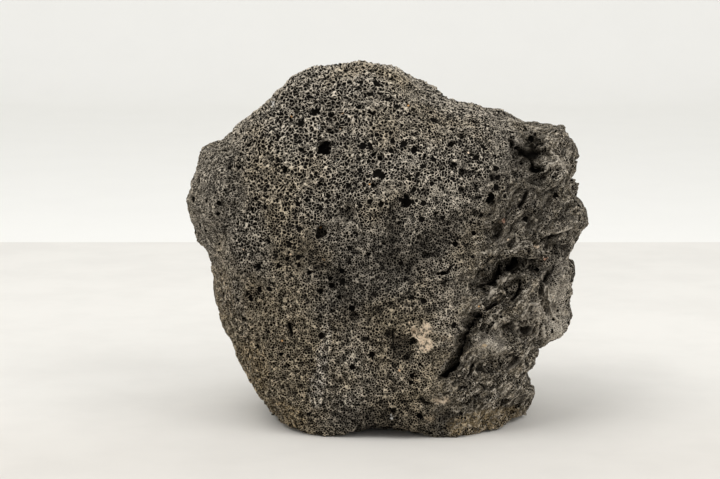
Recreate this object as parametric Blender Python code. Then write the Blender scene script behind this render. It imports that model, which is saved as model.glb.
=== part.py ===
"""A lump of vesicular lava rock, about 194 mm wide, 171 mm high and 138 mm deep, +Z up.

It is one solid. A fine ball is drawn out to the rock's front outline and depth and broken off
along flats. Then it gets its lobes, hollows, folds, fissures, roughness and open bubbles.
It rests on the flat patches under it, at z = 0, with the middle of its box on the Z axis.
"""

import math

import bmesh
import bpy
import numpy as np
from mathutils import Vector, noise

MM = 0.001

# Driving sizes
HEART = np.array([0.0, 0.0, 84 * MM])   # the point inside that the surface is shaped around
FRONT_REACH = 68 * MM                   # from the heart to the front face, along -Y
BACK_REACH = 66 * MM
BOXINESS = 2.7                          # 2 is an ellipsoid, more is squarer
BALL_SUBDIVISIONS = 7
FACES = 9700                            # triangles in the finished solid
EDGE_ROUNDING = 2.5 * MM                # where a flat meets the rest
FOOT_SNAP = 0.4 * MM                    # what is lower than this becomes a flat foot
BLOCK_SIZE = 27                         # mm across, of the blocks where the rock is torn
CREVICE_SHARE = 0.3                     # of a block's size, from its edge to its flat top
WANDER_SHIFTS = (3.7, 17.2, 41.9)       # where in the noise the X, Y and Z steps are read
KNOB_SHIFT = 11.0

# The outline seen from the front, (x, z) in mm, from the crown down the left side and round.
# It runs on below the ground, where the base is cut flat.
FRONT_OUTLINE = (
    (-13, 171), (-32, 170), (-46, 165.5), (-55, 153), (-69, 145), (-80, 132.5), (-91, 131),
    (-93, 120), (-97, 103), (-93.5, 89.5), (-83.5, 78), (-84, 58), (-76.5, 36), (-64, 16),
    (-58, -3), (-44, -34), (0, -54), (44, -36), (66, -7), (71, 11.5), (65, 18), (61.5, 29),
    (77, 36), (86.5, 46), (89.5, 62), (83.5, 78), (86.5, 85), (96.5, 96), (89.5, 107),
    (89.5, 132), (85, 141), (69, 140), (50, 146.5), (32, 148), (17, 154.5), (4, 165),
)
# Away from its rim the rock follows the outline less closely: averaged over this angle
# to each side, and turned a little towards the back.
OUTLINE_EASE = math.radians(26)
BACK_TURN = math.radians(9)
RIM_SHARE = 0.62                        # how far from the rim the outline is still sharp

# Flats where the lump broke off: the way each faces (x, y, z), and its distance in mm
# from the heart.
FLATS = (
    ((-0.60, 0.79, 0.10), 73),
    ((0.62, 0.76, -0.16), 76),
    ((0.12, 0.72, 0.68), 76),
    ((-0.35, 0.45, 0.82), 81),
    ((-0.15, 0.74, -0.66), 78),
    ((0.86, -0.50, 0.05), 94),
    ((0.30, -0.62, 0.72), 83),
    ((-0.30, -0.60, 0.74), 86),
    ((-0.80, -0.58, -0.10), 89),
)

# Places on the front are (x, z) in mm, and on the other sides (turn, rise) in degrees, where
# turn 0 faces front, 90 right, 180 back and 270 left. Each lump or hollow then has its radius
# and its height in mm; a hollow's height is negative.
FRONT_LUMPS = (
    ((-14, 70), 44, 2.5),
    ((-52, 118), 26, 1.5),
    ((8, 140), 26, 1.5),
    ((46, 126), 20, 2.5),
    ((34, 140), 14, 1.5),
    ((80, 136), 10, 2.5),
    ((84, 100), 13, 2.0),
    ((-84, 108), 16, 1.5),
    ((57, 93), 13, 4.0),
    ((54, 69), 5, 2.0),
    ((51, 60), 7.5, 3.0),
    ((41, 57), 4.5, 2.0),
    ((64, 61), 9, 3.0),
    ((40.5, 50), 5.5, 2.5),
    ((46, 44), 8, 3.0),
    ((60, 42), 8, 2.0),
    ((61, 22), 10, 3.0),
    ((14, 26), 12, 1.5),
    ((-40, 20), 18, 1.5),
)
FRONT_HOLLOWS = (
    ((67, 128), 12, -9.0),
    ((61, 132), 5, -4.0),
    ((71, 122), 6, -4.5),
    ((-30, 99), 8, -2.6),
    ((-20, 106), 7, -2.4),
    ((6, 43), 10, -2.6),
    ((-5, 11), 10, -3.5),
    ((58.5, 71.5), 5, -5.0),
    ((39.6, 60.4), 3.8, -6.0),
    ((54, 54), 4.2, -4.5),
    ((62.5, 53), 5, -5.0),
    ((38.5, 36.5), 4, -5.0),
    ((44, 34.5), 4, -5.0),
    ((26.5, 11), 8, -4.5),
    ((57, 111), 9, -2.0),
    ((75, 90), 8, -2.5),
    ((-62, 72), 18, -1.4),
)
FRONT_PITS = (
    ((-30, 136), 3.0, -4.0),
    ((-27.5, 144), 2.4, -3.0),
    ((-67.5, 54.5), 2.6, -3.0),
    ((-45.5, 52.5), 3.0, -3.0),
    ((-43, 50), 2.4, -2.5),
    ((42, 120.5), 2.6, -3.0),
    ((46.5, 124.5), 2.4, -2.5),
    ((46.5, 110), 2.5, -4.0),
    ((46.5, 113.5), 2.5, -4.0),
    ((62.5, 113), 2.8, -3.5),
    ((49, 96.5), 3.0, -3.0),
    ((56, 92.5), 3.0, -3.5),
    ((-30, 99), 3.2, -2.5),
    ((-19, 107), 2.8, -2.0),
)
OTHER_LUMPS = (
    ((150, 18), 26, 4.0),
    ((205, -8), 24, 4.0),
    ((232, 34), 20, 4.0),
    ((118, -20), 20, 3.0),
    ((96, 24), 16, 3.0),
    ((92, -6), 14, 3.0),
    ((268, -18), 22, 1.5),
    ((180, 48), 24, 3.0),
    ((330, 62), 24, 1.0),
    ((75, 60), 18, 1.0),
    ((286, 14), 14, 1.5),
)
OTHER_HOLLOWS = (
    ((176, 4), 18, -7.0),
    ((128, 30), 12, -5.0),
    ((222, 16), 9, -4.0),
    ((160, -28), 14, -5.0),
    ((252, 4), 10, -3.5),
    ((98, -4), 12, -4.0),
    ((100, -33), 20, -8.0),
    ((84, -34), 10, -5.0),
    ((206, 40), 8, -4.0),
    ((270, 44), 12, -3.0),
    ((140, 58), 10, -3.5),
    ((78, 34), 7, -3.0),
)

# Long forms on the front: their route as (x, z) in mm, half width and height in mm.
# A negative height is a groove, and a positive one a ridge.
FRONT_FOLDS = (
    # the overhanging lip and the black fissure under it
    (((26, 78), (40, 85), (54, 89), (67, 86), (77, 89)), 7.0, 3.0),
    (((41, 71), (44, 76), (49, 81), (55, 83), (63, 81.5), (71, 80)), 4.6, -10.0),
    # the tongue under the fissure and the second fissure below it
    (((45, 70), (52, 75.5), (60, 77.5)), 3.0, 2.6),
    (((43, 63), (47, 64.5), (51, 67)), 3.0, -5.0),
    # the crevice down to the left
    (((38, 58), (33, 50), (32, 41.5), (30, 35), (26.5, 33)), 3.8, -7.5),
    (((43.5, 56), (42.5, 49)), 2.4, -3.0),
    # ledges and undercuts below
    (((50, 49), (57, 48), (66, 46)), 2.8, -3.0),
    (((47, 33), (54, 35), (66, 33)), 2.8, -2.8),
    (((36, 20), (43, 22.5), (51, 26), (60, 33)), 3.2, -4.2),
    (((30, 15), (42, 13), (54, 14), (64, 10)), 2.8, -2.2),
    # the sharp rib and the crease beside the set-back lobe
    (((68, 79), (69, 72), (65, 66), (60, 58), (57, 50)), 2.6, 2.6),
    (((78, 83), (74, 77), (72, 71), (71, 66), (74, 61), (77, 54), (75, 45)), 5.0, -8.0),
    # the rib down from the corner knob
    (((72, 124), (79, 129), (84, 120), (85, 108)), 2.6, 2.4),
    (((60, 138), (70, 139), (79, 131)), 3.0, -2.0),
    # wide shallow bands and the smooth trough
    (((37, 106), (22, 93), (6, 80)), 13.0, -2.6),
    (((8, 114), (2, 100), (-2, 84)), 8.0, -1.4),
    (((40, 100), (33, 90), (30, 82)), 6.0, -2.0),
    (((-78, 130), (-74, 112), (-80, 90)), 8.0, -1.8),
    (((-28, 50), (-33, 21)), 2.4, 0.9),
)

# Long forms on the other sides: their route as (turn, rise) in degrees, as above.
OTHER_FOLDS = (
    (((112, 44), (122, 22), (140, 8), (146, -12), (166, -34)), 6.0, -6.0),
    (((182, 60), (190, 36), (212, 14), (218, -4), (242, -20)), 7.0, -5.0),
    (((194, 60), (202, 34), (222, 14), (232, -4), (252, -18)), 6.5, 4.0),
    (((150, -2), (166, -16), (188, -10), (204, -24), (222, -28)), 5.5, -4.5),
    (((250, 40), (262, 26), (266, 8), (282, -8)), 5.5, -3.0),
    (((78, -34), (92, -18), (104, -16), (124, -2)), 5.0, -5.0),
    (((80, 22), (96, 10), (108, 16), (122, 4)), 5.0, -4.0),
    (((90, 52), (136, 66), (196, 62)), 6.0, 2.5),
)

# The base: the arch at the front edge and the shallow hollows between the feet, as a
# place (x, y) in mm, radius and height in mm.
BASE_HOLLOWS = (
    ((-2, -60), 20, 6.0),
    ((-22, -14), 19, 3.0),
    ((-4, 24), 15, 2.5),
    ((10, 56), 20, 5.0),
    ((-52, 20), 20, 5.0),
    ((40, -16), 20, 3.5),
    ((62, 26), 22, 6.0),
    ((-34, 58), 14, 3.5),
)
BASE_ROUNDING = 1.6 * MM                # of the lower edge, where the flat base begins

COLOUR = (0.085, 0.074, 0.062, 1.0)
ROUGHNESS = 0.95


def clear_scene():
    for thing in list(bpy.data.objects):
        bpy.data.objects.remove(thing, do_unlink=True)


def smooth_step(value):
    value = np.clip(value, 0.0, 1.0)
    return value * value * (3.0 - 2.0 * value)


def ball():
    """Unit directions and triangles of a fine ball."""
    mesh = bmesh.new()
    bmesh.ops.create_icosphere(mesh, subdivisions=BALL_SUBDIVISIONS, radius=1.0)
    directions = np.array([vertex.co[:] for vertex in mesh.verts])
    triangles = [[vertex.index for vertex in face.verts] for face in mesh.faces]
    mesh.free()
    return directions / np.linalg.norm(directions, axis=1)[:, None], triangles


def outline_reach(angles):
    """How far the front outline lies from the heart, at these angles in the XZ plane."""
    points = np.array(FRONT_OUTLINE) * MM - HEART[[0, 2]]
    point_angles = np.arctan2(points[:, 1], points[:, 0])
    order = np.argsort(point_angles)
    reach = np.linalg.norm(points, axis=1)[order]
    return np.interp(angles, point_angles[order], reach, period=2 * math.pi)


def main_mass(directions):
    """The distance of the surface from the heart: the outline with a rounded front and back."""
    across = np.hypot(directions[:, 0], directions[:, 2])
    angles = np.arctan2(directions[:, 2], directions[:, 0])
    turned = angles + BACK_TURN * np.clip(directions[:, 1], 0.0, 1.0)
    eased = np.mean([outline_reach(turned + OUTLINE_EASE * step)
                     for step in np.linspace(-1.0, 1.0, 9)], axis=0)
    off_rim = smooth_step(np.abs(directions[:, 1]) / RIM_SHARE)
    outline = outline_reach(angles) * (1.0 - off_rim) + eased * off_rim
    depth = np.where(directions[:, 1] < 0, FRONT_REACH, BACK_REACH)
    size = (across / outline) ** BOXINESS + (np.abs(directions[:, 1]) / depth) ** BOXINESS
    return size ** (-1.0 / BOXINESS)


def broken_off(directions, reach):
    """The same distances with the flats broken off and their edges rounded."""
    for facing, distance in FLATS:
        normal = np.array(facing) / np.linalg.norm(facing)
        slope = np.maximum(directions @ normal, 0.05)
        flat = distance * MM / slope
        reach = -EDGE_ROUNDING * np.logaddexp(-reach / EDGE_ROUNDING, -flat / EDGE_ROUNDING)
    return reach


def front_place(points, place):
    """The point of the front face at this (x, z) in mm."""
    away = np.hypot(points[:, 0] - place[0] * MM, points[:, 2] - place[1] * MM)
    away[points[:, 1] > 0] = np.inf
    return points[np.argmin(away)]


def side_place(points, place):
    """The point of the surface that this turn and rise in degrees meets."""
    turn, rise = (math.radians(angle) for angle in place)
    towards = np.array([
        math.sin(turn) * math.cos(rise), -math.cos(turn) * math.cos(rise), math.sin(rise),
    ])
    away = points - HEART
    return points[np.argmax(away @ towards / np.linalg.norm(away, axis=1))]


def lump(points, centre, radius, height):
    """A round lump or hollow about one place: full height in the middle, none at its radius."""
    away = np.linalg.norm(points - centre, axis=1) / (radius * MM)
    return height * MM * smooth_step(1.0 - away)


def fold(points, route, half_width, height):
    """A ridge or groove along a route, which fades out at both ends."""
    nearest = np.full(len(points), np.inf)
    for start, end in zip(route[:-1], route[1:]):
        run = end - start
        along = np.clip((points - start) @ run / (run @ run), 0.0, 1.0)
        away = np.linalg.norm(points - start - along[:, None] * run, axis=1)
        nearest = np.minimum(nearest, away)
    return height * MM * smooth_step(1.0 - nearest / (half_width * MM))


def noise_at(points, wavelength, octaves, shift=0.0):
    """Smooth noise of about -1 to 1. Another shift gives another pattern."""
    scaled = points / (wavelength * MM) + shift
    return np.array([noise.fractal(Vector(p), 0.9, 2.0, octaves) for p in scaled])


def wandering(points, wavelength, distance):
    """The points moved about smoothly, so that forms measured on them get uneven edges."""
    steps = [noise_at(points, wavelength, 1, shift) for shift in WANDER_SHIFTS]
    return points + distance * MM * np.stack(steps, axis=1)


def named_relief(points):
    """How far the named lumps, hollows, pits and folds move the surface outwards."""
    relief = np.zeros(len(points))
    near = wandering(points, 12, 1.6)
    far = wandering(points, 24, 7.0)
    for place, radius, height in FRONT_LUMPS + FRONT_HOLLOWS:
        relief += lump(near, front_place(points, place), radius, height)
    for place, radius, height in FRONT_PITS:
        relief += lump(points, front_place(points, place), radius, height)
    for place, radius, height in OTHER_LUMPS + OTHER_HOLLOWS:
        relief += lump(far, side_place(points, place), radius, height)
    for route, half_width, height in FRONT_FOLDS:
        stops = [front_place(points, place) for place in route]
        relief += fold(near, stops, half_width, height)
    for route, half_width, height in OTHER_FOLDS:
        stops = [side_place(points, place) for place in route]
        relief += fold(far, stops, half_width, height)
    return relief


def block_edges(points, size):
    """1 on the crevices between blocks of about this size, 0 on the blocks."""
    scaled = points / (size * MM)
    near = np.array([noise.voronoi(Vector(p))[0][:2] for p in scaled])
    return 1.0 - smooth_step((near[:, 1] - near[:, 0]) / CREVICE_SHARE)


def torn_share(points):
    """1 on the torn right third of the front and on the back, 0 on the even front face."""
    slant = points[:, 0] - 0.22 * (points[:, 2] - HEART[2])
    right = smooth_step((slant - 24 * MM) / (22 * MM))
    back = smooth_step((points[:, 1] + 20 * MM) / (40 * MM))
    return np.maximum(right, 0.8 * back)


def roughness_relief(points):
    """The unnamed unevenness: broad swells, and blocks and knobs where the rock is torn."""
    torn = torn_share(points)
    back = smooth_step((points[:, 1] + 10 * MM) / (50 * MM))
    broad = noise_at(points, 40, 2) * (1.5 + 2.0 * back)
    crevices = block_edges(wandering(points, 20, 6.0), BLOCK_SIZE) * torn * (1.4 + 2.0 * back)
    knobs = noise_at(points, 10, 3, KNOB_SHIFT) * (0.7 + 0.9 * torn)
    return MM * (broad - crevices + knobs)


def rest_on_feet(points):
    """Cuts the base at z = 0, and leaves shallow hollows between the feet."""
    floor = np.zeros(len(points))
    for (x, y), radius, height in BASE_HOLLOWS:
        away = np.hypot(points[:, 0] - x * MM, points[:, 1] - y * MM) / (radius * MM)
        floor = np.maximum(floor, height * MM * smooth_step(1.6 * (1.0 - away)))
    points[:, 2] = BASE_ROUNDING * np.logaddexp(points[:, 2] / BASE_ROUNDING, 0.0)
    points[:, 2] = np.maximum(points[:, 2], floor)
    return points


def new_object(name, points, triangles):
    mesh = bpy.data.meshes.new(name)
    mesh.from_pydata([tuple(point) for point in points], [], triangles)
    thing = bpy.data.objects.new(name, mesh)
    bpy.context.scene.collection.objects.link(thing)
    return thing


def fewer_faces(points, triangles):
    """The same surface in FACES triangles, more of them where it bends."""
    fine = new_object("fine_surface", points, triangles)
    modifier = fine.modifiers.new("fewer_faces", "DECIMATE")
    modifier.ratio = FACES / len(triangles)
    bpy.context.view_layer.update()
    mesh = bpy.data.meshes.new_from_object(
        fine.evaluated_get(bpy.context.evaluated_depsgraph_get())
    )
    points = np.array([vertex.co[:] for vertex in mesh.vertices])
    triangles = [list(face.vertices) for face in mesh.polygons]
    bpy.data.objects.remove(fine, do_unlink=True)
    return points, triangles


def centred(points):
    """Moved so that the middle of its box is on the Z axis, with its feet flat at z = 0."""
    middle = (points.min(axis=0) + points.max(axis=0)) / 2
    points[:, :2] -= middle[:2]
    points[points[:, 2] < FOOT_SNAP, 2] = 0.0
    return points


def stone():
    material = bpy.data.materials.new("basalt")
    material.use_nodes = True
    shader = material.node_tree.nodes["Principled BSDF"]
    shader.inputs["Base Color"].default_value = COLOUR
    shader.inputs["Roughness"].default_value = ROUGHNESS
    shader.inputs["Metallic"].default_value = 0.0
    return material


def lava_rock():
    directions, triangles = ball()
    reach = broken_off(directions, main_mass(directions))
    points = HEART + directions * reach[:, None]
    reach = reach + named_relief(points) + roughness_relief(points)
    points = rest_on_feet(HEART + directions * reach[:, None])
    points, triangles = fewer_faces(points, triangles)
    rock = new_object("lava_rock", centred(points), triangles)
    rock.data.materials.append(stone())
    return rock


clear_scene()
lava_rock()
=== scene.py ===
"""The look of the lava rock: its open-pored skin, its material, and a plain studio around it.

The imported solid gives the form. Its facets are rounded and a finer skin is laid over it. The
skin gets the rock's small relief, the cracks, holes and ribs of its face, and the opened cells
and bubbles of the lava, all as real geometry. The same cells are read again in the material,
for colour and for bump, with a fine grain added.
"""

import math

import bmesh
import bpy
import numpy as np
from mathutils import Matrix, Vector


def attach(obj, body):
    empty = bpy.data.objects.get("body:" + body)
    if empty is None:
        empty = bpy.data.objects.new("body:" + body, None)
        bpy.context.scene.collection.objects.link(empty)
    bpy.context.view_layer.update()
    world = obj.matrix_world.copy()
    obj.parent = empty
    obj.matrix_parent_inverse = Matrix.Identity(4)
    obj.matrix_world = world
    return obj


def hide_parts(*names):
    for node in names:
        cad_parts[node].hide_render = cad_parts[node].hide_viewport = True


MM = 0.001

# The fine skin
SKIN_CELL = 0.5 * MM             # of the grid that lays the skin over the solid
FACET_ROUNDING = 2               # subdivisions that round the solid's facets
WELD = 0.01 * MM                 # joins the corners that the solid's facets share
FRONT_FACES = 132000             # triangles of the finished skin on the face
BACK_FACES = 64000               # and on the rest
SHARP_ANGLE = math.radians(50)   # between triangles, from which an edge is shaded sharp
HEART = Vector((0, 0, 84 * MM))  # the middle of the rock, which the lights face

# The parts of the rock, in mm. It is torn to the right of a line that leans with the height,
# and on the back. The face, which has marks of its own, is the front
TORN_RIGHT = (24.0, 26.0)        # in X, where it begins and how far on it is full
TORN_LEAN = 0.22                 # how far right the line goes for each mm of height
TORN_TOP = (105.0, 0.4)          # height above which it leans more, and how much more
TORN_BACK = (15.0, 35.0)         # in Y, where the back begins and how far on it is full
BACK_TORN = 0.6                  # how torn the back is, as a share
FACE_UNTIL = -4.0                # in Y, where the face ends
FACE_FADE = 12.0                 # how far in front of that it is full

# The small relief: wavelength in mm, detail, and height on the even face and on the torn
# sides in mm
RELIEF = {
    "swell": (26.0, 1.0, 4.6, 5.0),
    "lumps": (9.5, 1.2, 4.2, 6.4),
    "grain": (3.6, 2.0, 1.4, 1.1),
    "folds": (12.0, 2.0, 0.5, 7.5),
    "streaks": (2.8, 2.0, 0.0, 1.0),
    "strands": (1.6, 2.0, 0.0, 0.5),
}
OUTWARD = (-0.5, -0.9)           # mm that the skin stands out, even face and torn sides
FOLD_SLANT = 40                  # degrees that folds and streaks rise to the right
FOLD_STRETCH = 4.0               # how much longer than wide they are
FOLD_BEND = 0.6                  # how much the crests of the folds wind
FLANK_CALM = 0.5                 # how much of the torn relief is left on the flanks
FACING_FULL = 0.5                # the part in Y of a normal from which all of it is there
CREASE_SPACING = 11.0            # mm, of the creases between the torn lumps
CREASE_WIDTH = 0.12              # as a share of the spacing
CREASE_DEPTH = 2.2               # mm
CREASE_SHADE = 0.4               # how dark the painted shade in a crease is, against the deepest crack's
CREASED_BETWEEN = (0.38, 0.5)    # of their noise, where the creases come in
CAVITY_STEPS = 70                # of the spreading that finds what lies low, about 2 mm

# Wanders, which make edges and patterns uneven: wavelength and reach in mm, detail, roughness
WANDERS = {
    "folds": (14.0, 5.0, 1.0, 0.5),
    "cells": (5.0, 0.8, 2.5, 0.5),
    "marks": (4.5, 2.4, 4.0, 0.6),
    "stains": (2.0, 2.5, 4.0, 0.65),
}

# Noises that aren't relief: wavelength in mm, detail, roughness
NOISES = {
    "widths": (9.0, 2.0, 0.5),  # of the marks
    "ragged": (1.8, 3.0, 0.6),  # edges of the marks
    "creased": (12.0, 2.0, 0.5),  # where the torn lumps have creases
    "walls": (2.2, 2.0, 0.6),  # how thick the walls between cells are
    "sizes": (15.0, 4.0, 0.72),  # how coarse the cells are
    "closed": (8.0, 3.0, 0.5),  # where cells are closed on the torn sides
    "warmth": (34.0, 3.0, 0.5),  # of the walls' colour
    "mottle": (2.4, 5.0, 0.75),
    "fine_grain": (0.9, 3.0, 0.6),
    "dust": (7.0, 4.0, 0.7),
    "fine_strands": (1.5, 3.0, 0.65),  # on the torn sides
    "blotches": (1.4, 3.0, 0.6),  # in the stains
    "paper": (60.0, 5.0, 0.6),
}

# Marks on the face, as seen from the front: X and Z in mm.
# Cracks: half width, depth, and the points that they run through
CRACKS = (
    (1.1, 4.6, ((41.6, 71.7), (44.8, 75.7), (49.5, 80.4), (56.9, 80.2))),
    (1.0, 4.6, ((56.9, 80.2), (61.3, 82.3), (65.1, 81.1), (69.2, 76.6))),
    (1.0, 5.0, ((60.5, 73.0), (58.3, 68.4), (57.3, 65.0))),
    (0.6, 3.0, ((52.5, 69.3), (58.3, 68.2))),
    (1.0, 4.0, ((72.5, 71.1), (74.8, 75.2))),
    (0.7, 2.5, ((74.8, 75.2), (79.7, 80.2), (85.4, 86.1))),
    (0.9, 4.5, ((38.0, 57.4), (35.2, 53.4), (32.6, 47.1), (31.7, 41.6))),
    (0.9, 4.5, ((31.7, 41.6), (30.3, 36.4), (27.5, 32.1), (24.3, 29.6))),
    (0.7, 4.0, ((42.9, 58.8), (43.1, 52.8), (42.4, 48.5))),
    (0.8, 4.0, ((44.3, 61.8), (49.3, 64.1))),
    (1.0, 4.5, ((56.6, 136.8), (57.8, 133.5), (62.1, 132.2), (66.0, 128.3), (67.3, 125.6))),
    (0.9, 4.0, ((64.4, 137.3), (67.9, 136.7), (71.3, 134.9))),
    (0.9, 4.5, ((64.0, 115.5), (62.7, 112.3), (60.7, 108.5))),
    (0.9, 3.5, ((67.3, 91.8), (75.2, 93.1), (79.7, 93.5), (84.8, 94.5))),
    (0.8, 4.0, ((39.0, 35.6), (36.8, 29.5))),
    (1.0, 3.5, ((37.1, 16.2), (41.3, 18.9))),
    (0.5, 3.0, ((1.7, 53.0), (2.6, 46.4), (2.2, 40.3))),
    (0.7, 2.5, ((14.7, 19.6), (18.0, 17.1))),
    (0.8, 4.0, ((-46.0, 54.5), (-45.0, 49.5))),
    (0.5, 3.0, ((21.5, 79.0), (26.0, 80.5), (29.0, 83.0))),
    (0.5, 2.6, ((24.0, 74.5), (30.0, 76.0))),
    (0.6, 3.2, ((48.0, 34.0), (55.0, 37.5), (60.0, 36.0))),
    (0.6, 3.0, ((33.0, 24.0), (40.0, 25.5), (45.0, 23.0))),
)
# Holes and hollows: centre, half width, half height, depth
HOLES = (
    ((39.4, 59.2), 3.0, 1.3, 5.0),
    ((45.7, 75.0), 4.0, 2.4, 3.5),
    ((65.5, 131.0), 6.5, 5.5, 4.5),
    ((68.7, 124.0), 3.2, 1.5, 5.0),
    ((46.2, 111.6), 1.2, 2.8, 4.5),
    ((49.5, 96.9), 2.4, 5.0, 2.4),
    ((55.6, 92.9), 2.4, 2.4, 4.0),
    ((77.1, 88.0), 6.5, 4.5, 2.5),
    ((74.9, 110.1), 1.2, 2.4, 2.5),
    ((55.5, 106.7), 1.1, 1.3, 2.5),
    ((63.8, 48.8), 3.4, 2.6, 3.0),
    ((54.2, 51.8), 3.4, 1.8, 3.0),
    ((67.6, 76.8), 3.0, 2.0, 4.0),
    ((42.4, 32.8), 2.4, 2.2, 3.4),
    ((55.0, 13.9), 1.9, 1.9, 3.0),
    ((26.9, 8.4), 4.4, 3.8, 2.2),
    ((0.3, 51.6), 2.6, 2.2, 2.5),
    ((10.9, 47.3), 2.2, 2.0, 3.0),
    ((7.7, 39.8), 1.3, 1.5, 2.0),
    ((0.9, 14.0), 1.8, 1.6, 3.0),
    ((33.3, 140.9), 1.7, 1.2, 3.0),
    ((28.6, 138.1), 1.7, 1.5, 3.5),
    ((47.5, 123.3), 1.8, 2.6, 3.0),
    ((41.0, 119.6), 3.4, 3.4, 2.0),
    ((32.9, 125.0), 1.3, 1.5, 3.0),
    ((28.8, 127.6), 1.3, 1.4, 2.5),
    ((32.8, 117.1), 1.2, 1.4, 2.5),
    ((40.2, 112.8), 1.4, 1.0, 2.5),
    ((-29.7, 135.8), 2.8, 2.6, 5.0),
    ((-27.5, 143.1), 1.4, 1.2, 3.5),
    ((-42.8, 151.0), 1.4, 1.3, 3.0),
    ((-13.0, 153.5), 1.4, 1.0, 2.5),
    ((-3.9, 132.0), 1.2, 1.0, 2.5),
    ((-7.0, 119.5), 1.4, 1.1, 2.5),
    ((7.7, 114.3), 1.6, 1.4, 3.0),
    ((6.7, 110.4), 1.2, 1.0, 2.5),
    ((14.0, 95.2), 1.1, 1.1, 2.5),
    ((16.3, 87.4), 1.3, 0.9, 2.5),
    ((-30.6, 98.1), 2.2, 2.0, 3.2),
    ((-19.7, 106.0), 3.6, 3.2, 2.3),
    ((-26.5, 61.9), 1.3, 1.1, 2.5),
    ((-15.6, 59.7), 1.2, 1.1, 2.5),
    ((-11.0, 48.1), 1.3, 1.2, 2.5),
    ((-67.7, 53.9), 1.8, 1.8, 3.5),
)
# Ribs that stand out: half width, height, and the points that they run through
RIBS = (
    (0.5, 1.4, ((70.6, 73.8), (72.9, 69.2), (71.1, 63.5), (64.7, 62.6), (61.5, 58.4),
                (61.1, 52.1))),
    (0.6, 1.5, ((44.7, 67.6), (46.8, 71.1), (50.5, 73.7), (54.7, 76.7))),
    (0.4, 0.9, ((70.4, 122.2), (74.6, 125.0), (77.9, 127.2))),
    (0.5, 0.5, ((75.5, 131.0), (79.0, 127.5), (81.5, 124.0))),
    (0.5, 0.6, ((84.5, 97.0), (80.6, 94.7), (73.3, 94.2))),
    (0.5, 1.1, ((66.1, 63.0), (70.8, 55.6), (74.5, 47.8), (74.6, 44.0), (71.2, 42.5))),
    (0.5, 1.1, ((74.4, 67.7), (75.4, 60.5), (77.7, 53.6), (79.7, 50.2))),
    (0.5, 1.0, ((46.0, 58.0), (50.0, 52.0), (52.5, 46.5))),
    (0.5, 1.0, ((50.0, 60.0), (55.0, 54.0))),
    (0.5, 1.0, ((56.0, 31.0), (62.0, 35.0), (66.0, 41.0))),
)

# Fans of strands that spread from a point: the point, the nearest and farthest reach in mm, the
# middle direction and the half spread in degrees, how many strands, and their height in mm
FANS = (
    ((70.5, 67.0), 3.0, 23.0, -104.0, 34.0, 12, 1.1),
)
FAN_FADES = (10.0, 3.0, 4.0)     # at its sides in degrees, near its point and far off, mm

# Broad hollows and swells of the face: half width, depth (or rise, below 0), and the route
TROUGHS = (
    (5.0, 2.6, ((37.0, 106.0), (22.0, 94.0), (8.0, 81.0))),
    (3.6, 1.8, ((5.0, 112.0), (2.0, 98.0), (0.0, 84.0))),
    (4.0, 2.4, ((5.5, 45.5), (7.0, 43.0))),
    (2.2, -0.9, ((16.3, 54.5), (14.0, 49.0), (16.2, 44.5))),
    (2.6, 3.0, ((39.0, 55.0), (34.6, 46.0), (32.5, 37.0), (27.0, 31.0))),
    (3.0, 2.6, ((44.0, 76.0), (56.0, 82.0), (68.0, 79.0))),
    (4.5, 1.8, ((-72.0, 130.0), (-70.0, 112.0), (-76.0, 96.0))),
    (6.0, 1.8, ((-38.0, 88.0), (-22.0, 74.0), (-18.0, 58.0))),
    (5.0, -3.0, ((72.0, 48.0), (82.0, 45.0))),
    (3.0, -1.6, ((28.0, 62.0), (20.0, 54.0))),
    (3.2, -1.8, ((38.0, 49.0), (50.0, 43.0))),
    (2.6, -1.4, ((-27.9, 50.0), (-29.8, 37.7), (-31.7, 26.5), (-33.6, 16.0))),
    (6.0, -2.0, ((-52.0, 140.0), (-36.0, 122.0))),
    (7.0, -1.6, ((4.0, 128.0), (26.0, 124.0))),
    (8.0, -1.8, ((-52.0, 76.0), (-46.0, 62.0))),
)

# Dents and swells that reach round to the flanks: centre and reach in X, Y and Z, and depth
# (or rise, below 0)
DENTS = (
    ((72.0, -42.0, 34.0), (5.0, 25.0, 3.5), 7.5),
    ((71.5, -40.0, 43.5), (4.5, 25.0, 3.0), -1.6),
    ((64.0, -40.0, 4.5), (10.0, 25.0, 6.5), 6.0),
    ((-59.0, -33.0, 4.5), (10.0, 22.0, 6.5), 7.0),
    ((86.0, -33.0, 82.0), (5.0, 25.0, 8.0), 1.3),
    ((88.0, -20.0, 133.0), (5.0, 30.0, 6.0), 1.4),
    ((83.0, -39.0, 50.0), (6.0, 25.0, 7.0), 1.5),
    ((-57.0, -5.0, 152.0), (16.0, 25.0, 14.0), -1.3),
    ((12.0, 5.0, 160.0), (14.0, 25.0, 8.0), -2.6),
    ((30.0, 5.0, 147.0), (8.0, 20.0, 8.0), -1.6),
    ((91.0, -26.0, 100.0), (7.0, 10.0, 7.0), -1.8),
    ((-92.0, -25.0, 105.0), (12.0, 20.0, 12.0), -1.2),
    ((83.0, -20.0, 139.0), (6.0, 10.0, 6.0), -1.5),
)
WIDTHS = (0.45, 0.9)             # a mark's least width and what its noise adds, as shares
RAGGED = 0.5                     # what the noise of a hole's ragged edge is added to
CREVICE_FROM = (0.9, 2.8)        # mm of depth: where a mark's painted shade begins, how far on it's full
TROUGH_SHADE_AND_LIGHT = 0.14              # how much painted shade a mm of trough gets, painted light for a rise
RIB_HIGHLIGHT = 0.5                   # how much painted highlight the crest of a rib gets
FAN_SHADE_AND_LIGHT = 0.9                  # how much painted light and shade a mm of a fan's strands gets
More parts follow.
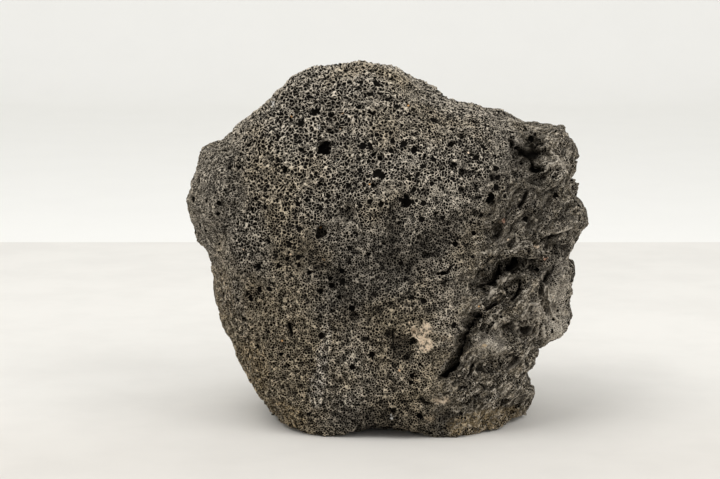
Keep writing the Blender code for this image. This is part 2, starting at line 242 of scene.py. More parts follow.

# Broad tones of the face, partly its own colour and partly painted shade and light: darker at
# the base, in hollows and along troughs, paler on top. Centre, half width, half height in mm,
# and how much darker, or paler, below 0
TONES_AND_SHADES = (
    ((-12.0, 78.0), 30.0, 28.0, 0.42),
    ((-58.0, 80.0), 14.0, 30.0, 0.18),
    ((40.0, 128.0), 22.0, 16.0, 0.12),
    ((4.0, 45.0), 5.0, 5.0, 0.45),
    ((-8.0, 9.0), 24.0, 7.0, 0.75),
    ((26.0, 8.0), 7.0, 8.0, 0.6),
    ((22.0, 94.0), 14.0, 8.0, 0.22),
    ((0.0, 98.0), 5.0, 16.0, 0.2),
    ((28.0, 55.0), 9.0, 6.0, -0.3),
    ((46.0, 46.0), 10.0, 5.0, -0.25),
    ((-34.0, 10.0), 9.0, 5.0, -0.3),
    ((-30.0, 34.0), 3.0, 15.0, -0.6),
    ((66.0, 108.0), 18.0, 20.0, 0.4),
    ((80.0, 62.0), 8.0, 16.0, -0.5),
    ((84.0, 125.0), 6.0, 14.0, -0.3),
    ((-18.0, 161.0), 20.0, 5.0, -0.25),
    ((34.0, 109.0), 8.0, 4.0, -0.25),
    ((-2.5, 114.3), 5.0, 3.0, -0.3),
    ((-85.0, 106.0), 10.0, 28.0, 0.14),
    ((62.0, 131.0), 7.0, 6.0, 0.6),
)

# Opened cells of the lava, packed close with thin walls between them. Spacing and depth in mm.
# "sizes" is the part of the scale of size_nodes() in which a layer is the one that shows; 9 is
# past any size
CELLS = {
    "coarse": {"spacing": 1.75, "depth": 0.9, "apart": 0.0, "sizes": (0.80, 9.0)},
    "medium": {"spacing": 1.36, "depth": 0.6, "apart": 2.71, "sizes": (0.42, 0.80)},
    "fine": {"spacing": 1.1, "depth": 0.4, "apart": 4.19, "sizes": (-9.0, 0.42)},
}
SIZE_BLEND = 0.03                # how soon one layer gives way to the next
SIZE_WAY = (-0.35, 0.0, 0.75)    # the way in which the cells grow coarser, up and left
FINE_BELOW = 45.0                # mm that way: before this the cells are mostly fine
COARSE_ABOVE = 128.0             # mm that way: after this they are mostly coarse
SIZE_PATCHES = 130.0             # mm that way that coarse and fine patches are off by
WALL_EDGE = (0.02, 0.11)         # where a cell opens, as a share of the spacing
WALL_SPREAD = 0.34               # how much that share varies from place to place
TORN_WALLS = 0.05                # and how much more wall there is on the torn sides
TORN_FINER = 0.2                 # how much finer the cells are there, on the scale of sizes
TORN_CLOSED = 0.35               # how closed they are there, in patches
CLOSED_BETWEEN = (0.42, 0.58)    # of their noise, where those patches come in
CRUST_BETWEEN = (-66.0, -86.0)   # mm in X, where the left rim's crust begins and is full
CRUST_FINER = 0.38               # how much finer its cells are
CRUST_CLOSED = 0.08              # how closed they are

# Single larger bubbles: the spacing of their centres, the smallest and largest radius, the
# share of centres that hold a bubble on the even face and on the torn sides. Lengths in mm
BUBBLES = {
    "large": {"spacing": 13.0, "radii": (1.2, 2.3), "share": (0.75, 0.0), "apart": 7.31},
    "middle": {"spacing": 4.7, "radii": (0.8, 1.65), "share": (0.85, 0.26), "apart": 3.17},
}
FEWER_BUBBLES = (30, 115, 0.25)  # mm in Z: between these the share grows from 0.25 to 1
BUBBLES_OFF = 0.9                # how far their centres are off an even grid, 1 is fully
DEEPEST = 1.5                    # a bubble's depth at most, in radii
BUBBLE_EDGE = 0.15               # how soon the material darkens in it, in smallest radii
APART_WAY = (1.0, 0.7, 1.3)      # the way in which layers are set apart, "apart" times this

# The fine bump that the material adds, in mm
CELL_BUMP = {"coarse": 0.3, "medium": 0.35, "fine": 0.35, "large": 0.5, "middle": 0.5}
GRAIN_BUMP = 0.16
STRAND_BUMP = 1.0

# Shares in the material: between the first two values of what is read, a share goes from the
# third number to the last
SHARES = {
    "low": (110 * MM, 10 * MM, 0.0, 0.16),  # height, for how much warmer it is
    "warm": (0.42, 0.72, 0.0, 1.0),
    "mottle": (0.60, 0.36, 0.0, 1.0),
    "pale_grain": (0.5, 0.66, 0.0, 0.7),
    "dark_grain": (0.46, 0.33, 0.0, 0.8),
    "dust": (0.6, 0.76, 0.0, 0.4),
    "hollow": (0.1, 1.35, 0.0, 0.85),  # mm below the neighbourhood, for painted shade in hollows
    "crest": (-0.1, -1.2, 0.0, 0.45),  # mm above it, for painted light on crests
    "dark_strand": (0.51, 0.43, 0.0, 0.95),
    "pale_strand": (0.53, 0.62, 0.0, 0.6),
    # The broad tones: partly the face's own colour, partly painted shade and light
    "dark_tone_and_shade": (0.0, 0.6, 0.0, 0.75),
    "pale_tone_and_light": (0.0, -0.6, 0.0, 0.6),
    "blotches": (0.40, 0.54, 0.1, 1.0),
    "fleck": (0.15, 0.09, 0.0, 1.0),  # distance, as a share of the spacing
    "fleck_paint": (0.4, 0.6, 0.0, 1.0),
    "rough": (0.3, 0.7, 0.6, 0.9),
    "sheen": (0.0, 0.8, 0.4, 0.0),
    "paper": (0.35, 0.7, 0.0, 1.0),
}
TORN_WARMER = 0.16               # how much warmer the torn walls are
TORN_SHADE = 0.5                 # how much darker they are
EVEN_MOTTLE = 0.28               # how mottled and grained the even face's walls are
CELL_SHADE = 0.996               # how near the painted shade in an open cell comes to CELL_DARK_AND_SHADE
CREVICE_SHADE = 0.99             # and the painted shade in the deepest crack

# Colours, linear
COOL_WALL = (0.61, 0.54, 0.435, 1.0)
WARM_WALL = (0.575, 0.475, 0.325, 1.0)
# Pale grains, and also the painted light on crests, ribs and pale tones
PALE_WALL = (0.78, 0.70, 0.58, 1.0)
# Dark mottle and grain, and also the painted shade in hollows, torn walls and dark tones
DARK_WALL = (0.062, 0.052, 0.038, 1.0)
DUST = (0.50, 0.41, 0.29, 1.0)
# Near black: the cells' own dark insides, and the painted shade in open cells and deep cracks
CELL_DARK_AND_SHADE = (0.0045, 0.004, 0.0035, 1.0)
CREAM = (0.82, 0.65, 0.47, 1.0)
TAN = (0.50, 0.38, 0.24, 1.0)
RUST = (0.52, 0.375, 0.185, 1.0)
ASH = (0.82, 0.745, 0.635, 1.0)
WHITE_FLECK = (0.80, 0.78, 0.74, 1.0)
ORANGE_FLECK = (0.62, 0.33, 0.12, 1.0)
PINK_FLECK = (0.66, 0.40, 0.28, 1.0)

# Coloured marks on the face: centre in X and Z, half width and half height in mm, strength
STAINS = (
    (RUST, (-51.0, 8.0), 13.0, 9.0, 0.62),
    (RUST, (-64.0, 30.0), 9.0, 17.0, 0.5),
    (RUST, (46.0, 5.0), 20.0, 7.0, 0.42),
    (RUST, (-80.0, 62.0), 9.0, 15.0, 0.4),
    (ASH, (-28.5, 51.0), 2.4, 7.0, 0.45),
    (ASH, (-31.0, 38.0), 3.0, 8.0, 0.6),
    (ASH, (-33.5, 24.0), 4.0, 9.0, 0.64),
    (CREAM, (16.6, 54.0), 2.9, 3.1, 0.98),
    (CREAM, (14.2, 50.2), 2.8, 2.6, 0.95),
    (CREAM, (16.2, 46.4), 3.2, 4.0, 0.98),
    (CREAM, (11.0, 52.2), 1.7, 2.6, 0.85),
    (TAN, (26.4, 49.3), 2.6, 2.2, 0.6),
    (TAN, (43.0, 44.4), 1.2, 1.4, 1.0),
    (CREAM, (24.4, 18.4), 4.2, 1.7, 0.7),
    (TAN, (19.0, 10.5), 2.6, 2.6, 0.45),
    (TAN, (11.4, 30.5), 1.8, 2.0, 0.5),
    (WHITE_FLECK, (-32.5, 144.7), 1.0, 0.9, 1.0),
    (WHITE_FLECK, (50.2, 18.9), 0.9, 1.0, 1.0),
    (WHITE_FLECK, (-23.8, 130.5), 1.7, 0.7, 0.5),
    (WHITE_FLECK, (1.0, 11.0), 1.0, 1.7, 0.8),
    (WHITE_FLECK, (-54.3, 152.5), 0.6, 2.2, 0.9),
    (CREAM, (67.7, 89.7), 0.9, 0.9, 0.9),
    (ORANGE_FLECK, (-21.6, 150.9), 1.0, 0.45, 0.8),
    (ORANGE_FLECK, (-29.6, 85.7), 0.45, 0.6, 0.9),
    (PINK_FLECK, (51.7, 102.0), 0.9, 0.9, 1.0),
    (PINK_FLECK, (72.1, 83.3), 1.1, 0.8, 1.0),
)
STAIN_EDGE = (1.15, 0.75)        # where a mark begins and is full, in half widths
CLOSED_FROM = 0.65               # strength of a mark from which it closes the cells
STAIN_CLOSED = 0.92              # how closed they are
FLECK_SPACING = 4.5              # mm, of the places that may hold a small grain
FLECK_SHARE = 0.06               # how many of them do

# The studio and the camera, in metres and degrees
CAMERA_PLACE = (-0.01334, -1.0676, 0.2534)
CAMERA_DOWN = 9.0
FOCAL_LENGTH = 111.9             # mm
SENSOR_WIDTH = 36.0              # mm
FLOOR_FRONT = -8.0               # in Y, far behind the camera
FLOOR_BACK = 0.52                # in Y, where the backdrop's paper begins
COVE_START = 1.5                 # in Y, where that paper begins to sweep up
COVE_RADIUS = 0.25
COVE_STEPS = 16
BACKDROP_TOP = 2.5
HALF_WIDTH = 5.0
FLOOR_COLOUR = (0.83, 0.81, 0.765, 1.0)
NEAR_FLOOR_COLOUR = (0.70, 0.672, 0.625, 1.0)
NEAR_FLOOR_BETWEEN = (0.08, -0.12)     # in Y, where the floor begins to darken towards the camera and is fully darker
BACKDROP_COLOUR = (0.92, 0.913, 0.88, 1.0)
PAPER_ROUGHNESS = 0.95
FLOOR_SPECKLE = 0.05             # how uneven its paper is
BACKDROP_SPECKLE = 0.01
SKY_COLOUR = (1.0, 1.0, 1.0, 1.0)
SKY_STRENGTH = 0.76
# Name, place, size in m, power in W
SOFT_BOXES = (
    ("key", (-0.6, -0.5, 1.3), 1.0, 9.5),
    ("fill", (0.9, -0.7, 0.9), 0.8, 6.0),
)


class Nodes:
    """Adds nodes to a tree and joins them: one call for each node."""

    def __init__(self, tree):
        self.tree = tree

    def add(self, kind, inputs=(), **settings):
        """A new node. inputs names its inputs and says what each one gets."""
        node = self.tree.nodes.new(kind)
        for name, value in settings.items():
            setattr(node, name, value)
        for socket, value in dict(inputs).items():
            self.join(value, node.inputs[socket])
        return node

    def join(self, value, socket):
        """Joins another node's output to an input, or gives the input a value."""
        if isinstance(value, bpy.types.NodeSocket):
            self.tree.links.new(value, socket)
        else:
            socket.default_value = value

    def math(self, operation, a, b):
        return self.add("ShaderNodeMath", {0: a, 1: b}, operation=operation).outputs[0]

    def vector(self, operation, a, b):
        return self.add("ShaderNodeVectorMath", {0: a, 1: b}, operation=operation).outputs[0]

    def length(self, vector):
        node = self.add("ShaderNodeVectorMath", {0: vector}, operation="LENGTH")
        return node.outputs["Value"]

    def dot(self, a, b):
        node = self.add("ShaderNodeVectorMath", {0: a, 1: b}, operation="DOT_PRODUCT")
        return node.outputs["Value"]

    def scaled(self, vector, factor):
        node = self.add("ShaderNodeVectorMath", {0: vector, "Scale": factor}, operation="SCALE")
        return node.outputs[0]

    def noise(self, place, wavelength, detail, roughness=0.5, output="Fac"):
        """Noise about 0.5, of a wavelength in mm."""
        node = self.add("ShaderNodeTexNoise", {
            "Vector": place, "Scale": 1.0 / (wavelength * MM), "Detail": detail,
            "Roughness": roughness,
        })
        return node.outputs[output]

    def ridges(self, place, wavelength, detail):
        """Noise with sharp winding crests, of a wavelength in mm."""
        node = self.add("ShaderNodeTexNoise", {
            "Vector": place, "Scale": 1.0 / (wavelength * MM), "Detail": detail,
            "Distortion": FOLD_BEND,
        }, noise_type="RIDGED_MULTIFRACTAL", normalize=True)
        return node.outputs["Fac"]

    def voronoi(self, place, spacing, feature, randomness=1.0):
        """Cells of a spacing in mm."""
        return self.add("ShaderNodeTexVoronoi", {
            "Vector": place, "Scale": 1.0 / (spacing * MM), "Randomness": randomness,
        }, voronoi_dimensions="3D", feature=feature).outputs

    def split(self, vector):
        return self.add("ShaderNodeSeparateXYZ", {0: vector}).outputs

    def joined(self, x, y, z):
        return self.add("ShaderNodeCombineXYZ", {0: x, 1: y, 2: z}).outputs[0]

    def between(self, value, low, high, low_out=0.0, high_out=1.0, smooth=True):
        """value's way from low to high, as low_out to high_out."""
        node = self.add("ShaderNodeMapRange", {
            "Value": value, "From Min": low, "From Max": high,
            "To Min": low_out, "To Max": high_out,
        }, interpolation_type="SMOOTHSTEP" if smooth else "LINEAR", clamp=True)
        return node.outputs["Result"]

    def mix(self, share, a, b):
        """A colour between a, where share is 0, and b, where it is 1."""
        return self.add("ShaderNodeMix", {0: share, 6: a, 7: b}, data_type="RGBA").outputs[2]


def wander(nodes, place, name):
    """A vector that changes from place to place, by up to its reach either way."""
    wavelength, reach, detail, roughness = WANDERS[name]
    colour = nodes.noise(place, wavelength, detail, roughness, output="Color")
    centred = nodes.vector("SUBTRACT", colour, (0.5, 0.5, 0.5))
    return nodes.scaled(centred, 2 * reach * MM)


def wandered(nodes, place, name):
    """place, moved about, so that what is read there isn't quite even."""
    return nodes.vector("ADD", place, wander(nodes, place, name))


def apart_by(apart):
    """How far a layer of cells or bubbles is shifted, so that its pattern is its own."""
    return tuple(apart * part for part in APART_WAY)


def cell_opening(nodes, place, layer, torn):
    """How far inside its cell a point is: 0 in the wall, 1 in the open."""
    cells = CELLS[layer]
    shifted = nodes.vector("ADD", place, apart_by(cells["apart"]))
    edge = nodes.voronoi(shifted, cells["spacing"], "DISTANCE_TO_EDGE")["Distance"]
    uneven = nodes.noise(place, *NOISES["walls"])
    shift = nodes.math("MULTIPLY", nodes.math("SUBTRACT", uneven, 0.5), WALL_SPREAD)
    shift = nodes.math("SUBTRACT", shift, nodes.math("MULTIPLY", torn, TORN_WALLS))
    return nodes.between(nodes.math("ADD", edge, shift), *WALL_EDGE)


def bubble_nodes(nodes, place, layer):
    """The nearest bubble centre of a layer and its own random numbers."""
    bubbles = BUBBLES[layer]
    shift = apart_by(bubbles["apart"])
    shifted = nodes.vector("ADD", place, shift)
    found = nodes.voronoi(shifted, bubbles["spacing"], "F1", BUBBLES_OFF)
    centre = nodes.vector("SUBTRACT", found["Position"], shift)
    return {"centre": centre, "dice": found["Color"]}


def skin_over(solid):
    """The solid's facets rounded and covered with a fine even net."""
    skin = placed("lava_rock_skin", solid.data.copy())
    facets = bmesh.new()
    facets.from_mesh(skin.data)
    bmesh.ops.remove_doubles(facets, verts=facets.verts, dist=WELD)
    facets.to_mesh(skin.data)
    facets.free()
    rounding = skin.modifiers.new("rounding", "SUBSURF")
    rounding.levels = rounding.render_levels = FACET_ROUNDING
    net = skin.modifiers.new("net", "REMESH")
    net.mode = "VOXEL"
    net.voxel_size = SKIN_CELL
    settle(skin)
    return skin


def settle(thing):
    """Applies the modifiers of a mesh object."""
    bpy.context.view_layer.update()
    graph = bpy.context.evaluated_depsgraph_get()
    mesh = bpy.data.meshes.new_from_object(thing.evaluated_get(graph), depsgraph=graph,
                                           preserve_all_data_layers=True)
    thing.modifiers.clear()
    thing.data = mesh


def read_fields(skin, recipe):
    """Reads node fields at every point of the skin. recipe(nodes, place) names the sockets."""
    tree = bpy.data.node_groups.new("fields", "GeometryNodeTree")
    tree.interface.new_socket("Geometry", in_out="INPUT", socket_type="NodeSocketGeometry")
    tree.interface.new_socket("Geometry", in_out="OUTPUT", socket_type="NodeSocketGeometry")
    nodes = Nodes(tree)
    shape = nodes.add("NodeGroupInput").outputs[0]
    place = nodes.add("GeometryNodeInputPosition").outputs[0]
    fields = recipe(nodes, place)
    for name, socket in fields.items():
        store = nodes.add("GeometryNodeStoreNamedAttribute", data_type="FLOAT_VECTOR")
        nodes.join(shape, store.inputs["Geometry"])
        store.inputs["Name"].default_value = name
        nodes.join(socket, store.inputs["Value"])
        shape = store.outputs[0]
    nodes.join(shape, nodes.add("NodeGroupOutput").inputs[0])
    reader = skin.modifiers.new("reader", "NODES")
    reader.node_group = tree
    bpy.context.view_layer.update()
    seen = skin.evaluated_get(bpy.context.evaluated_depsgraph_get())
    found = {name: vectors_of(seen.data.attributes[name].data, "vector") for name in fields}
    skin.modifiers.clear()
    bpy.data.node_groups.remove(tree)
    return found


def vectors_of(rows, field):
    """One vector for each row of a mesh's points or of an attribute, as an array."""
    values = np.zeros(len(rows) * 3, np.float32)
    rows.foreach_get(field, values)
    return values.reshape(-1, 3).astype(float)


def numbers_of(mesh, name):
    """The number kept for each point of a mesh, as an array."""
    values = np.zeros(len(mesh.vertices), np.float32)
    mesh.attributes[name].data.foreach_get("value", values)
    return values.astype(float)


def points_of(mesh):
    return vectors_of(mesh.vertices, "co")


def normals_of(mesh):
    return vectors_of(mesh.vertices, "normal")


def set_points(mesh, points):
    """Moves the points of a mesh, none of them below the floor."""
    points[:, 2] = np.maximum(points[:, 2], 0.0)
    mesh.vertices.foreach_set("co", points.astype(np.float32).ravel())
    mesh.update()


def store(mesh, name, values):
    """Keeps one number or one vector for each point of a mesh."""
    kind, field = ("FLOAT", "value") if values.ndim == 1 else ("FLOAT_VECTOR", "vector")
    attribute = mesh.attributes.get(name) or mesh.attributes.new(name, kind, "POINT")
    attribute.data.foreach_set(field, values.astype(np.float32).ravel())


def smooth_step(value):
    value = np.clip(value, 0.0, 1.0)
    return value * value * (3.0 - 2.0 * value)


def torn_share(points):
    """1 on the torn right third, BACK_TORN on the back, 0 on the even face."""
    top, top_lean = TORN_TOP
    slant = points[:, 0] - TORN_LEAN * (points[:, 2] - HEART.z)
    slant -= top_lean * np.maximum(points[:, 2] - top * MM, 0.0)
    right = smooth_step((slant - TORN_RIGHT[0] * MM) / (TORN_RIGHT[1] * MM))
    back = smooth_step((points[:, 1] - TORN_BACK[0] * MM) / (TORN_BACK[1] * MM))
    return np.maximum(right, BACK_TORN * back)


def face_share(points):
    """1 on the side that faces the front, 0 from the flanks on."""
    return smooth_step((FACE_UNTIL * MM - points[:, 1]) / (FACE_FADE * MM))


def roughen(skin):
    """Gives the skin its small relief: swells and grain, and slanting folds where torn."""
    points = points_of(skin.data)
    torn = torn_share(points)
    found = read_fields(skin, relief_nodes)
    noises = dict(zip(RELIEF, np.hstack([found["relief"], found["torn_relief"]]).T))
    height = np.zeros(len(points))
    facing = np.abs(normals_of(skin.data)[:, 1])
    rough = torn * (FLANK_CALM + (1.0 - FLANK_CALM) * smooth_step(facing / FACING_FULL))
    for name, (_, _, even_height, torn_height) in RELIEF.items():
        height += (even_height + (torn_height - even_height) * rough) * (noises[name] - 0.5)
    crease = found["crease"][:, 0] * rough
    height -= CREASE_DEPTH * crease
    even_level = np.average(height, weights=1.0 - torn)
    torn_level = np.average(height, weights=torn)
    height += OUTWARD[0] - even_level + (OUTWARD[1] - torn_level - OUTWARD[0] + even_level) * torn
    store(skin.data, "high", height)
    store(skin.data, "crease", crease)
    store(skin.data, "outward", normals_of(skin.data))
    set_points(skin.data, points + normals_of(skin.data) * (height * MM)[:, None])


def relief_nodes(nodes, place):
    """The noises of RELIEF, each about 0 to 1, three to a vector, and the creases."""
    slant = slanted(nodes, wandered(nodes, place, "folds"))
    even = [nodes.noise(place, *RELIEF[name][:2]) for name in ("swell", "lumps", "grain")]
    folds = nodes.ridges(slant, *RELIEF["folds"][:2])
    fine = [nodes.noise(slant, *RELIEF[name][:2]) for name in ("streaks", "strands")]
    edge = nodes.voronoi(slant, CREASE_SPACING, "DISTANCE_TO_EDGE")["Distance"]
    patch = nodes.between(nodes.noise(place, *NOISES["creased"]), *CREASED_BETWEEN)
    crease = nodes.math("MULTIPLY", nodes.between(edge, CREASE_WIDTH, 0.0), patch)
    return {"relief": nodes.joined(*even),
            "torn_relief": nodes.joined(folds, *fine),
            "crease": nodes.joined(crease, 0.0, 0.0)}


def slanted(nodes, place):
    """place, squeezed along the slant of the folds, so that noise read there runs that way."""
    slant = math.radians(FOLD_SLANT)
    along = (math.cos(slant) / FOLD_STRETCH, 0.0, math.sin(slant) / FOLD_STRETCH)
    across = (-math.sin(slant), 0.0, math.cos(slant))
    return nodes.joined(nodes.dot(place, along), nodes.dot(place, (0.0, 1.0, 0.0)),
                        nodes.dot(place, across))


def mark_face(skin):
    """Cuts the cracks and holes of the face into the skin and raises its ribs."""
    points = points_of(skin.data)
    found = read_fields(skin, mark_nodes)
    seen = (points + found["wander"])[:, (0, 2)] / MM
    face = face_share(points)
    depth = cuts(seen, found["uneven"])
    height, ribs, tone_and_shade = rises(seen)
    store(skin.data, "tone_and_shade", tone_and_shade * face)
    store(skin.data, "ribs", ribs * face)
    # Painted shade in the deeper cracks and holes, and in the creases of the torn lumps
    cut = smooth_step((depth * face - CREVICE_FROM[0]) / CREVICE_FROM[1])
    creased = numbers_of(skin.data, "crease")
    store(skin.data, "crevice_shade", np.maximum(cut, CREASE_SHADE * creased))
    shift = (height - depth) * face
    for centre, reach, deep in DENTS:
        gap = (points / MM - centre) / reach
        shift -= deep * np.exp(-np.einsum("ij,ij->i", gap, gap))
    # How far each point lies below its neighbourhood: the material paints shade in hollows and
    # light on crests from it
    store(skin.data, "cavity", low_share(skin.data, shift + numbers_of(skin.data, "high")))
    outward = vectors_of(skin.data.attributes["outward"].data, "vector")
    set_points(skin.data, points + outward * (shift * MM)[:, None])


def cuts(seen, uneven):
    """How deep the cracks and holes are at each point."""
    depth = np.zeros(len(seen))
    width = WIDTHS[0] + WIDTHS[1] * uneven[:, 0]
    ragged = RAGGED + uneven[:, 1]
    for half_width, deep, route in CRACKS:
        near = distance_to(seen, route) / (half_width * width)
        depth = np.maximum(depth, deep * np.exp(-near ** 2))
    for centre, half_width, half_height, deep in HOLES:
        near = ellipse_way(seen, centre, half_width, half_height) * ragged
        depth = np.maximum(depth, deep * np.exp(-(near / width) ** 3))
    return depth


def rises(seen):
    """How high ribs, fans and troughs bring each point, how near a crest it is, and its broad
    tones, with painted shade and light along troughs and between fan strands.
    """
    height = np.zeros(len(seen))
    tone_and_shade = np.zeros(len(seen))
    ribs = np.zeros(len(seen))
    for half_width, tall, route in RIBS:
        crest = np.exp(-(distance_to(seen, route) / half_width) ** 2)
        height = np.maximum(height, tall * crest)
        ribs = np.maximum(ribs, crest)
    for fan in FANS:
        strands = strands_of(seen, *fan)
        height += strands
        # Painted shade between a fan's strands; their crests join the ribs for painted highlight
        tone_and_shade -= FAN_SHADE_AND_LIGHT * np.minimum(strands, 0.0)
        ribs = np.maximum(ribs, FAN_SHADE_AND_LIGHT * strands)
    for half_width, deep, route in TROUGHS:
        drop = deep * np.exp(-(distance_to(seen, route) / half_width) ** 2)
        height -= drop
        # Painted shade along a trough, painted light along a rise
        tone_and_shade += TROUGH_SHADE_AND_LIGHT * drop
    # Broad tones: some the face's own colour, some painted shade and light
    for centre, half_width, half_height, darker in TONES_AND_SHADES:
        near = ellipse_way(seen, centre, half_width, half_height)
        tone_and_shade += darker * np.exp(-near ** 2)
    return height, ribs, tone_and_shade


def ellipse_way(seen, centre, half_width, half_height):
    """How far out of an ellipse each point is: 0 in its middle, 1 on its rim."""
    return np.hypot(*((seen - centre) / (half_width, half_height)).T)


def strands_of(seen, apex, nearest, farthest, middle, spread, count, tall):
    """The height of strands that spread from a point."""
    side_fade, near_fade, far_fade = FAN_FADES
    gap = seen - apex
    reach = np.hypot(gap[:, 0], gap[:, 1])
    turn = np.degrees(np.arctan2(gap[:, 1], gap[:, 0])) - middle
    turn = (turn + 180.0) % 360.0 - 180.0
    inside = smooth_step((spread - np.abs(turn)) / side_fade)
    inside = inside * smooth_step((reach - nearest) / near_fade)
    inside = inside * smooth_step((farthest - reach) / far_fade)
    return tall * inside * np.sin(np.radians(turn) * 180.0 / spread * count)


def low_share(mesh, height):
    """How far each point lies below its neighbourhood, in mm."""
    ends = np.zeros(len(mesh.edges) * 2, np.int32)
    mesh.edges.foreach_get("vertices", ends)
    start, end = ends.reshape(-1, 2).T
    count = len(mesh.vertices)
    beside = np.bincount(start, minlength=count) + np.bincount(end, minlength=count)
    level = height.copy()
    for _ in range(CAVITY_STEPS):
        around = np.bincount(start, level[end], count) + np.bincount(end, level[start], count)
        level = 0.5 * (level + around / np.maximum(beside, 1))
    return level - height


def mark_nodes(nodes, place):
    """What makes the marks uneven: how far their edges wander, and how they widen."""
    widths = nodes.noise(place, *NOISES["widths"])
    ragged = nodes.noise(place, *NOISES["ragged"])
    return {"wander": wander(nodes, place, "marks"),
            "uneven": nodes.joined(widths, ragged, 0.0)}


def distance_to(places, route):
    """How far each place is from the line through the route's points."""
    nearest = np.full(len(places), np.inf)
    route = np.array(route)
    for start, end in zip(route[:-1], route[1:]):
        way = end - start
        share = np.clip((places - start) @ way / (way @ way), 0.0, 1.0)
        gap = places - start - share[:, None] * way
        nearest = np.minimum(nearest, np.hypot(gap[:, 0], gap[:, 1]))
    return nearest


def carve(skin):
    """Opens the cells and bubbles that the skin cuts through, and keeps the skin's old place."""
    points = points_of(skin.data)
    normals = normals_of(skin.data)
    torn = torn_share(points)
    store(skin.data, "skin_place", points)
    store(skin.data, "torn", torn)
    place = read_fields(skin, lambda nodes, at: {"at": wandered(nodes, at, "cells")})["at"]
    depth = cell_depth(skin)
    for layer in BUBBLES:
        found = read_fields(skin, lambda nodes, at: bubble_nodes(
            nodes, wandered(nodes, at, "cells"), layer))
        depth = np.maximum(depth, opened(place, normals, torn, layer, found))
    set_points(skin.data, points - normals * depth[:, None])


def cell_depth(skin):
    """How deep each point sinks into the opened cells."""
    open_share = read_fields(skin, cell_vectors)["open"]
    depths = [cells["depth"] for cells in CELLS.values()]
    return (open_share * depths).max(axis=1) * MM


def cell_vectors(nodes, place):
    """How open each layer of cells is, as one vector."""
    torn = attribute_in_geometry(nodes, "torn")
    ribs = attribute_in_geometry(nodes, "ribs")
    covers = cell_covers(nodes, place, wandered(nodes, place, "cells"), torn, ribs)
    return {"open": nodes.joined(*covers.values())}


def cell_covers(nodes, place, at, torn, ribs):
    """For each layer of cells, how open the rock is where that layer is the one that shows."""
    size = size_nodes(nodes, place, torn)
    patch = nodes.between(nodes.noise(place, *NOISES["closed"]), *CLOSED_BETWEEN)
    skinned = nodes.math("MULTIPLY", nodes.math("MULTIPLY", patch, torn), TORN_CLOSED)
    crusted = nodes.math("MULTIPLY", crust(nodes, place), CRUST_CLOSED)
    skinned = nodes.math("MAXIMUM", skinned, crusted)
    bare = nodes.math("SUBTRACT", 1.0, nodes.math("MAXIMUM", skinned, ribs))
    covers = {}
    for layer, cells in CELLS.items():
        low, high = cells["sizes"]
        over = nodes.between(size, low - SIZE_BLEND, low + SIZE_BLEND)
        under = nodes.between(size, high + SIZE_BLEND, high - SIZE_BLEND)
        shown = nodes.math("MULTIPLY", nodes.math("MULTIPLY", over, under), bare)
        covers[layer] = nodes.math("MULTIPLY", cell_opening(nodes, at, layer, torn), shown)
    return covers


def size_nodes(nodes, place, torn):
    """How coarse the cells are, from 0 to 1: coarser high on the rock, and in patches."""
    patch = nodes.noise(place, *NOISES["sizes"])
    lift = nodes.math("MULTIPLY", nodes.math("SUBTRACT", patch, 0.5), SIZE_PATCHES * MM)
    level = nodes.math("ADD", nodes.dot(place, SIZE_WAY), lift)
    size = nodes.between(level, FINE_BELOW * MM, COARSE_ABOVE * MM, smooth=False)
    size = nodes.math("SUBTRACT", size, nodes.math("MULTIPLY", torn, TORN_FINER))
    return nodes.math("SUBTRACT", size, nodes.math("MULTIPLY", crust(nodes, place), CRUST_FINER))


def crust(nodes, place):
    """0 to 1, where the left rim has its denser crust."""
    across = nodes.split(place)[0]
    return nodes.between(across, CRUST_BETWEEN[0] * MM, CRUST_BETWEEN[1] * MM)


def attribute_in_geometry(nodes, name):
    node = nodes.add("GeometryNodeInputNamedAttribute", {"Name": name}, data_type="FLOAT")
    return node.outputs["Attribute"]


def bubble_radius(layer, dice, torn, heights):
    """Each bubble's radius, 0 where there is none. radius_nodes() says the same."""
    smallest, largest = BUBBLES[layer]["radii"]
    even_share, torn_side = BUBBLES[layer]["share"]
    low, high, share_low = FEWER_BUBBLES
    share = even_share + (torn_side - even_share) * torn
    share *= np.interp(heights / MM, (low, high), (share_low, 1.0))
    held = dice[:, 1] < share
    return held * (smallest + (largest - smallest) * dice[:, 0] ** 2) * MM


def opened(place, normals, torn, layer, found):
    """How deep each point of the skin sinks into the bubble it lies on."""
    gap = place - found["centre"]
    distance = np.linalg.norm(gap, axis=1)
    radius = bubble_radius(layer, found["dice"], torn, found["centre"][:, 2])
    rise = np.einsum("ij,ij->i", gap, normals)
    inside = radius ** 2 - distance ** 2
    depth = rise + np.sqrt(np.maximum(inside + rise ** 2, 0.0))
    return np.where(inside > 0, np.clip(depth, 0.0, DEEPEST * radius), 0.0)


def thinned(skin):
    """The same skin in fewer triangles: first the back's, then the face's."""
    face = face_share(points_of(skin.data)) > 0.5
    triangles = sum(len(polygon.vertices) - 2 for polygon in skin.data.polygons)
    on_face = triangles * float(face.mean())
    thin_out(skin, ~face, (on_face + BACK_FACES) / triangles)
    face = face_share(points_of(skin.data)) > 0.5
    triangles = len(skin.data.polygons)
    thin_out(skin, face, (FRONT_FACES + BACK_FACES) / triangles)
    skin.data.shade_smooth()
    skin.data.set_sharp_from_angle(angle=SHARP_ANGLE)


def thin_out(skin, chosen, ratio):
    """Takes triangles away among the chosen points only."""
    group = skin.vertex_groups.new(name="chosen")
    group.add([int(index) for index in np.flatnonzero(chosen)], 1.0, "REPLACE")
    fewer = skin.modifiers.new("fewer", "DECIMATE")
    fewer.ratio = ratio
    fewer.use_collapse_triangulate = True
    fewer.vertex_group = group.name
    settle(skin)
    skin.vertex_groups.clear()


def attribute(nodes, name, output):
    return nodes.add("ShaderNodeAttribute", attribute_name=name).outputs[output]


